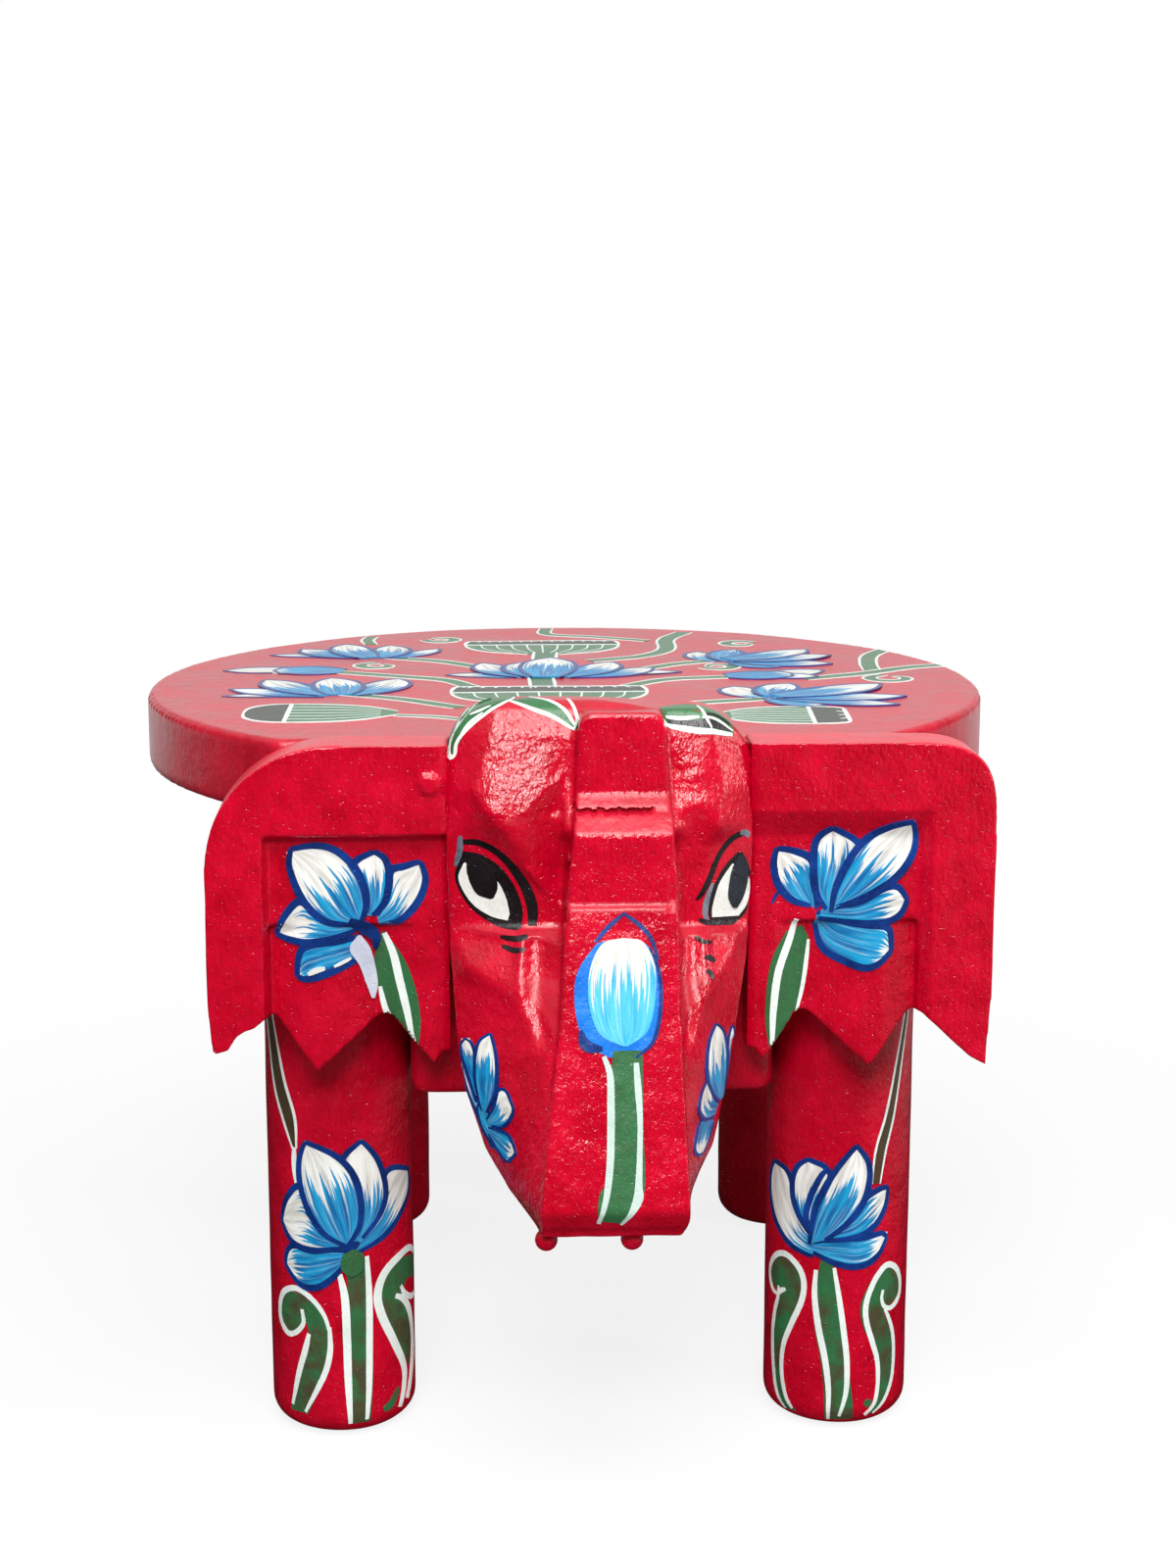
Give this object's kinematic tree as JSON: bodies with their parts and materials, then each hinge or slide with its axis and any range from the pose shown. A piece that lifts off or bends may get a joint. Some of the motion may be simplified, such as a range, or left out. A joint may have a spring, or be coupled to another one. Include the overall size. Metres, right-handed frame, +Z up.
{
  "type": "carved elephant stool",
  "caption": "Low round stool in painted wood: a seat board on round legs, a body block between them, and a carved elephant head with trunk and ears at the front.",
  "frame": {"origin": "on the floor below the middle of the stool's own box, trunk included", "axes": "+Z up, the head and trunk face -Y, +X is on the right of someone who faces the head"},
  "size_m": [0.304, 0.342, 0.255],
  "materials": {
    "red_enamel": "carved wood under crimson gloss enamel, brushed on",
    "nail_steel": "steel nail, painted over with the same crimson enamel",
    "bare_wood": "bare hardwood dowel",
    "blue_paint": "hand-brushed blue paint of the lotus petals, with darker blue outlines",
    "white_paint": "hand-brushed white paint of petal tips and leaf outlines",
    "green_paint": "hand-brushed green paint of stems, leaves and seed pods",
    "black_paint": "hand-brushed black paint of the eyes"
  },
  "bodies": {
    "root": {"seat_board": "red_enamel", "body_block": "red_enamel", "leg_front_left": "red_enamel", "leg_front_right": "red_enamel", "leg_rear_left": "red_enamel", "leg_rear_right": "red_enamel", "head_block": "red_enamel", "ear_left": "red_enamel", "ear_right": "red_enamel", "tail": "red_enamel", "trunk_pins": "red_enamel", "ear_nails_left": "nail_steel", "ear_nails_right": "nail_steel", "tail_nail": "nail_steel", "seat_dowels": "bare_wood", "head_dowels": "bare_wood"}
  },
  "joints": []
}
